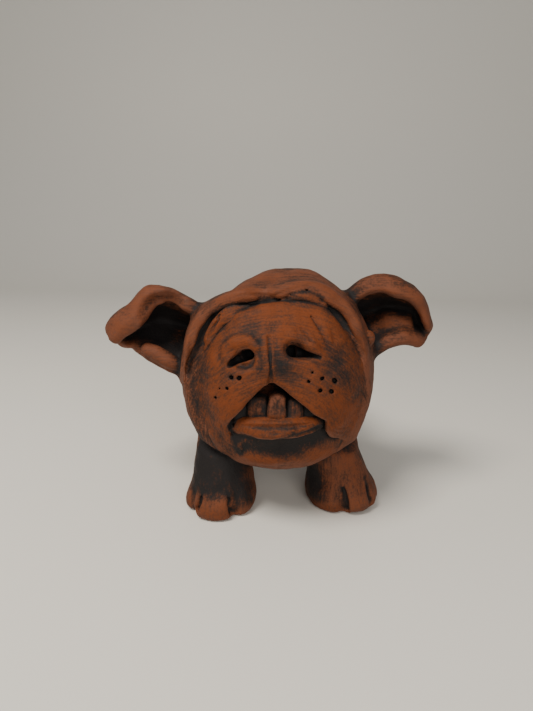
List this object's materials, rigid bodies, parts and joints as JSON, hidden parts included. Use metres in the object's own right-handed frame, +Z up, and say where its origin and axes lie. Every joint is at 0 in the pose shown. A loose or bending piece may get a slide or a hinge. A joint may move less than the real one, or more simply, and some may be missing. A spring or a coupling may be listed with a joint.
{
  "type": "terracotta dog sculpture",
  "caption": "Hand-built fired-clay dog with a big wrinkled head, cupped ears, toothy open mouth and stout three-toed legs, an ornament that stands on its feet.",
  "frame": {"origin": "centre of the bounding box on the ground under the feet", "axes": "+Z up, the dog faces -Y, its right side is at -X, and +X runs across the ears"},
  "size_m": [0.208, 0.1926, 0.1506],
  "materials": {
    "terracotta": "matte fired terracotta, rubbed orange over a dark oxide wash",
    "stained_clay": "matte fired clay left dark by the oxide wash"
  },
  "bodies": {
    "root": {"head": "terracotta", "body": "terracotta", "muzzle": "terracotta", "lower_jaw": "stained_clay", "lower_lip": "terracotta", "tooth_1": "stained_clay", "tooth_2": "stained_clay", "tooth_3": "stained_clay", "tooth_4": "stained_clay", "tooth_5": "stained_clay", "right_brow": "terracotta", "left_brow": "terracotta", "right_eyelid": "terracotta", "left_eyelid": "terracotta", "right_ear": "terracotta", "left_ear": "terracotta", "left_ear_pellet": "terracotta", "front_right_leg": "terracotta", "front_left_leg": "terracotta", "rear_right_leg": "terracotta", "rear_left_leg": "terracotta", "tail": "terracotta"}
  },
  "joints": []
}
